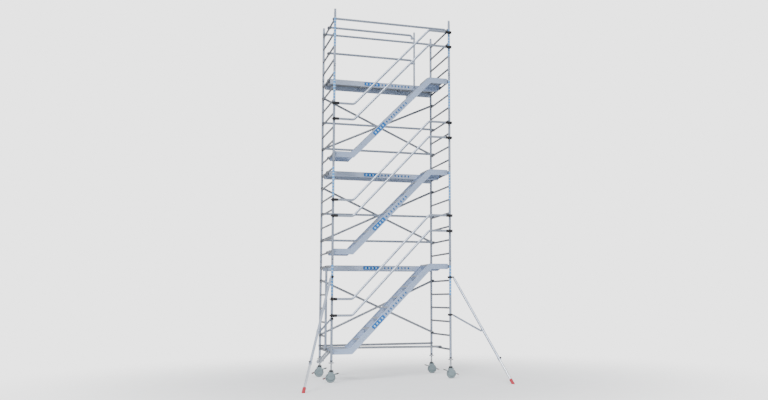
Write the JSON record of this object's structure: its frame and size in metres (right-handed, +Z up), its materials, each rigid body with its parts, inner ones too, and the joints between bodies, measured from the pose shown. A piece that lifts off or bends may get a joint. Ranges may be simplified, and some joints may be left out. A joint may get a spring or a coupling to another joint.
{
  "type": "mobile stair tower scaffold",
  "caption": "Tall mobile aluminium scaffold tower with ladder end frames, stacked stair flights and decks, guard rails, braked castors and folding stabilisers.",
  "frame": {"origin": "middle of the footprint's bounding box, on the ground", "axes": "+X along the decks, +Y towards the closed far side, +Z up"},
  "size_m": [4.0293, 2.9334, 7.505],
  "materials": {
    "frame_aluminium": "mill finish, slightly brushed",
    "tube_aluminium": "mill finish",
    "beam_aluminium": "extruded, matt",
    "tread_aluminium": "ribbed, matt",
    "step_aluminium": "extruded, matt",
    "cast_hook": "sand cast, darkened",
    "deck_board": "grey phenolic-faced plywood",
    "zinc_steel": "zinc plated",
    "castor_steel": "grey-teal paint",
    "castor_wheel": "moulded, satin",
    "brake_pedal": "black, worn at the tips",
    "black_plastic": "moulded, fine grain",
    "black_casting": "black powder coat",
    "red_rubber": "moulded, matt"
  },
  "bodies": {
    "tower": {"base_frame_left": "frame_aluminium", "base_frame_right": "frame_aluminium", "brace_claws": "cast_hook", "deck_boards": "deck_board", "diagonal_braces": "tube_aluminium", "frame_left_2": "frame_aluminium", "frame_left_3": "frame_aluminium", "frame_lock_clips": "zinc_steel", "frame_right_2": "frame_aluminium", "frame_right_3": "frame_aluminium", "guard_rails": "tube_aluminium", "handrail_couplers": "black_plastic", "inner_guard_post": "tube_aluminium", "landing_hooks": "cast_hook", "platform_frame_1": "beam_aluminium", "platform_frame_2": "beam_aluminium", "platform_frame_3": "beam_aluminium", "stair_handrails": "tube_aluminium", "stair_stringers_1": "beam_aluminium", "stair_stringers_2": "beam_aluminium", "stair_stringers_3": "beam_aluminium", "stair_treads": "tread_aluminium", "top_frame_left": "frame_aluminium", "top_frame_right": "frame_aluminium"},
    "adjusting_nut_near_left": {"adjusting_nut_near_left": "zinc_steel"},
    "castor_leg_near_left": {"castor_leg_near_left": "zinc_steel"},
    "castor_swivel_near_left": {"castor_fork_near_left": "castor_steel"},
    "castor_wheel_near_left": {"castor_wheel_near_left": "castor_wheel"},
    "brake_pedal_near_left": {"brake_pedal_near_left": "brake_pedal"},
    "adjusting_nut_near_right": {"adjusting_nut_near_right": "zinc_steel"},
    "castor_leg_near_right": {"castor_leg_near_right": "zinc_steel"},
    "castor_swivel_near_right": {"castor_fork_near_right": "castor_steel"},
    "castor_wheel_near_right": {"castor_wheel_near_right": "castor_wheel"},
    "brake_pedal_near_right": {"brake_pedal_near_right": "brake_pedal"},
    "adjusting_nut_far_left": {"adjusting_nut_far_left": "zinc_steel"},
    "castor_leg_far_left": {"castor_leg_far_left": "zinc_steel"},
    "castor_swivel_far_left": {"castor_fork_far_left": "castor_steel"},
    "castor_wheel_far_left": {"castor_wheel_far_left": "castor_wheel"},
    "brake_pedal_far_left": {"brake_pedal_far_left": "brake_pedal"},
    "adjusting_nut_far_right": {"adjusting_nut_far_right": "zinc_steel"},
    "castor_leg_far_right": {"castor_leg_far_right": "zinc_steel"},
    "castor_swivel_far_right": {"castor_fork_far_right": "castor_steel"},
    "castor_wheel_far_right": {"castor_wheel_far_right": "castor_wheel"},
    "brake_pedal_far_right": {"brake_pedal_far_right": "brake_pedal"},
    "stabiliser_upper_clamp_left": {"stabiliser_upper_clamp_left": "black_casting"},
    "stabiliser_lower_clamp_left": {"stabiliser_lower_clamp_left": "black_casting"},
    "stabiliser_leg_left": {"stabiliser_leg_left": "tube_aluminium"},
    "stabiliser_strut_left": {"stabiliser_strut_left": "tube_aluminium"},
    "stabiliser_knob_left": {"stabiliser_knob_left": "black_plastic"},
    "stabiliser_inner_leg_left": {"stabiliser_inner_leg_left": "tube_aluminium", "stabiliser_foot_left": "red_rubber"},
    "stabiliser_upper_clamp_right": {"stabiliser_upper_clamp_right": "black_casting"},
    "stabiliser_lower_clamp_right": {"stabiliser_lower_clamp_right": "black_casting"},
    "stabiliser_leg_right": {"stabiliser_leg_right": "tube_aluminium"},
    "stabiliser_strut_right": {"stabiliser_strut_right": "tube_aluminium"},
    "stabiliser_knob_right": {"stabiliser_knob_right": "black_plastic"},
    "stabiliser_inner_leg_right": {"stabiliser_inner_leg_right": "tube_aluminium", "stabiliser_foot_right": "red_rubber"},
    "entry_step": {"entry_step": "step_aluminium"}
  },
  "joints": [
    {"name": "leg_adjust_near_left", "type": "slide", "parent": "tower", "child": "castor_leg_near_left", "axis": [0, 0, -1], "range_m": [0, 0.2]},
    {"name": "nut_turn_near_left", "type": "hinge", "parent": "tower", "child": "adjusting_nut_near_left", "pos_m": [-1.2078, 0.12467, 0.38], "axis": [0, 0, 1], "range_deg": [0, 9001]},
    {"name": "castor_turn_near_left", "type": "hinge", "parent": "castor_leg_near_left", "child": "castor_swivel_near_left", "pos_m": [-1.2078, 0.12467, 0.195], "axis": [0, 0, 1], "continuous": true},
    {"name": "wheel_spin_near_left", "type": "hinge", "parent": "castor_swivel_near_left", "child": "castor_wheel_near_left", "pos_m": [-1.2198, 0.12467, 0.096], "axis": [0, 1, 0], "continuous": true},
    {"name": "brake_press_near_left", "type": "hinge", "parent": "castor_swivel_near_left", "child": "brake_pedal_near_left", "pos_m": [-1.2198, 0.12467, 0.14], "axis": [0, 1, 0], "range_deg": [0, 18]},
    {"name": "leg_adjust_near_right", "type": "slide", "parent": "tower", "child": "castor_leg_near_right", "axis": [0, 0, -1], "range_m": [0, 0.2]},
    {"name": "nut_turn_near_right", "type": "hinge", "parent": "tower", "child": "adjusting_nut_near_right", "pos_m": [1.2422, 0.12467, 0.38], "axis": [0, 0, 1], "range_deg": [0, 9001]},
    {"name": "castor_turn_near_right", "type": "hinge", "parent": "castor_leg_near_right", "child": "castor_swivel_near_right", "pos_m": [1.2422, 0.12467, 0.195], "axis": [0, 0, 1], "continuous": true},
    {"name": "wheel_spin_near_right", "type": "hinge", "parent": "castor_swivel_near_right", "child": "castor_wheel_near_right", "pos_m": [1.2542, 0.12467, 0.096], "axis": [0, 1, 0], "continuous": true},
    {"name": "brake_press_near_right", "type": "hinge", "parent": "castor_swivel_near_right", "child": "brake_pedal_near_right", "pos_m": [1.2542, 0.12467, 0.14], "axis": [0, -1, 0], "range_deg": [0, 18]},
    {"name": "leg_adjust_far_left", "type": "slide", "parent": "tower", "child": "castor_leg_far_left", "axis": [0, 0, -1], "range_m": [0, 0.2]},
    {"name": "nut_turn_far_left", "type": "hinge", "parent": "tower", "child": "adjusting_nut_far_left", "pos_m": [-1.2078, 1.42467, 0.38], "axis": [0, 0, 1], "range_deg": [0, 9001]},
    {"name": "castor_turn_far_left", "type": "hinge", "parent": "castor_leg_far_left", "child": "castor_swivel_far_left", "pos_m": [-1.2078, 1.42467, 0.195], "axis": [0, 0, 1], "continuous": true},
    {"name": "wheel_spin_far_left", "type": "hinge", "parent": "castor_swivel_far_left", "child": "castor_wheel_far_left", "pos_m": [-1.2198, 1.42467, 0.096], "axis": [0, 1, 0], "continuous": true},
    {"name": "brake_press_far_left", "type": "hinge", "parent": "castor_swivel_far_left", "child": "brake_pedal_far_left", "pos_m": [-1.2198, 1.42467, 0.14], "axis": [0, 1, 0], "range_deg": [0, 18]},
    {"name": "leg_adjust_far_right", "type": "slide", "parent": "tower", "child": "castor_leg_far_right", "axis": [0, 0, -1], "range_m": [0, 0.2]},
    {"name": "nut_turn_far_right", "type": "hinge", "parent": "tower", "child": "adjusting_nut_far_right", "pos_m": [1.2422, 1.42467, 0.38], "axis": [0, 0, 1], "range_deg": [0, 9001]},
    {"name": "castor_turn_far_right", "type": "hinge", "parent": "castor_leg_far_right", "child": "castor_swivel_far_right", "pos_m": [1.2422, 1.42467, 0.195], "axis": [0, 0, 1], "continuous": true},
    {"name": "wheel_spin_far_right", "type": "hinge", "parent": "castor_swivel_far_right", "child": "castor_wheel_far_right", "pos_m": [1.2542, 1.42467, 0.096], "axis": [0, 1, 0], "continuous": true},
    {"name": "brake_press_far_right", "type": "hinge", "parent": "castor_swivel_far_right", "child": "brake_pedal_far_right", "pos_m": [1.2542, 1.42467, 0.14], "axis": [0, -1, 0], "range_deg": [0, 18]},
    {"name": "stabiliser_swing_left", "type": "hinge", "parent": "tower", "child": "stabiliser_upper_clamp_left", "pos_m": [-1.2078, 0.12467, 2.045], "axis": [0, 0, 1], "range_deg": [-25, 30]},
    {"name": "stabiliser_fold_left", "type": "hinge", "parent": "stabiliser_upper_clamp_left", "child": "stabiliser_leg_left", "pos_m": [-1.24796, 0.04413, 2.045], "axis": [-0.8949, 0.4462, 0], "range_deg": [0, 1.3]},
    {"name": "lower_clamp_slide_left", "type": "slide", "parent": "stabiliser_upper_clamp_left", "child": "stabiliser_lower_clamp_left", "axis": [0, 0, 1], "range_m": [-0.0859, 0]},
    {"name": "strut_turn_left", "type": "hinge", "parent": "stabiliser_lower_clamp_left", "child": "stabiliser_strut_left", "pos_m": [-1.23547, 0.06919, 1.225], "axis": [-0.8949, 0.4462, 0], "range_deg": [0, 7.22]},
    {"name": "inner_leg_slide_left", "type": "slide", "parent": "stabiliser_leg_left", "child": "stabiliser_inner_leg_left", "axis": [-0.2799, -0.5613, -0.7788], "range_m": [0, 0.3]},
    {"name": "lock_knob_turn_left", "type": "hinge", "parent": "stabiliser_leg_left", "child": "stabiliser_knob_left", "pos_m": [-1.82494, -1.11311, 0.50304], "axis": [-0.3475, -0.697, 0.6272], "range_deg": [0, 720]},
    {"name": "stabiliser_swing_right", "type": "hinge", "parent": "tower", "child": "stabiliser_upper_clamp_right", "pos_m": [1.2422, 0.12467, 2.045], "axis": [0, 0, 1], "range_deg": [-30, 25]},
    {"name": "stabiliser_fold_right", "type": "hinge", "parent": "stabiliser_upper_clamp_right", "child": "stabiliser_leg_right", "pos_m": [1.28236, 0.04413, 2.045], "axis": [-0.8949, -0.4462, 0], "range_deg": [0, 2]},
    {"name": "lower_clamp_slide_right", "type": "slide", "parent": "stabiliser_upper_clamp_right", "child": "stabiliser_lower_clamp_right", "axis": [0, 0, 1], "range_m": [-0.0896, 0]},
    {"name": "strut_turn_right", "type": "hinge", "parent": "stabiliser_lower_clamp_right", "child": "stabiliser_strut_right", "pos_m": [1.26986, 0.06919, 1.28], "axis": [-0.8949, -0.4462, 0], "range_deg": [0, 8.29]},
    {"name": "inner_leg_slide_right", "type": "slide", "parent": "stabiliser_leg_right", "child": "stabiliser_inner_leg_right", "axis": [0.2717, -0.545, -0.7932], "range_m": [0, 0.3]},
    {"name": "lock_knob_turn_right", "type": "hinge", "parent": "stabiliser_leg_right", "child": "stabiliser_knob_right", "pos_m": [1.84324, -1.08082, 0.47349], "axis": [0.3539, -0.7098, 0.609], "range_deg": [0, 720]},
    {"name": "entry_step_lift", "type": "hinge", "parent": "tower", "child": "entry_step", "pos_m": [-1.2078, 0.41467, 0.58], "axis": [0, 1, 0], "range_deg": [0, 50]}
  ],
  "couplings": [
    {"joint": "nut_turn_near_left", "follows": "leg_adjust_near_left", "rad_per_m": 785.4},
    {"joint": "nut_turn_near_right", "follows": "leg_adjust_near_right", "rad_per_m": 785.4},
    {"joint": "nut_turn_far_left", "follows": "leg_adjust_far_left", "rad_per_m": 785.4},
    {"joint": "nut_turn_far_right", "follows": "leg_adjust_far_right", "rad_per_m": 785.4},
    {"joint": "lower_clamp_slide_left", "follows": "stabiliser_fold_left", "m_per_rad": -3.699},
    {"joint": "strut_turn_left", "follows": "stabiliser_fold_left", "ratio": 5.4751},
    {"joint": "lower_clamp_slide_right", "follows": "stabiliser_fold_right", "m_per_rad": -2.51},
    {"joint": "strut_turn_right", "follows": "stabiliser_fold_right", "ratio": 4.0961}
  ]
}
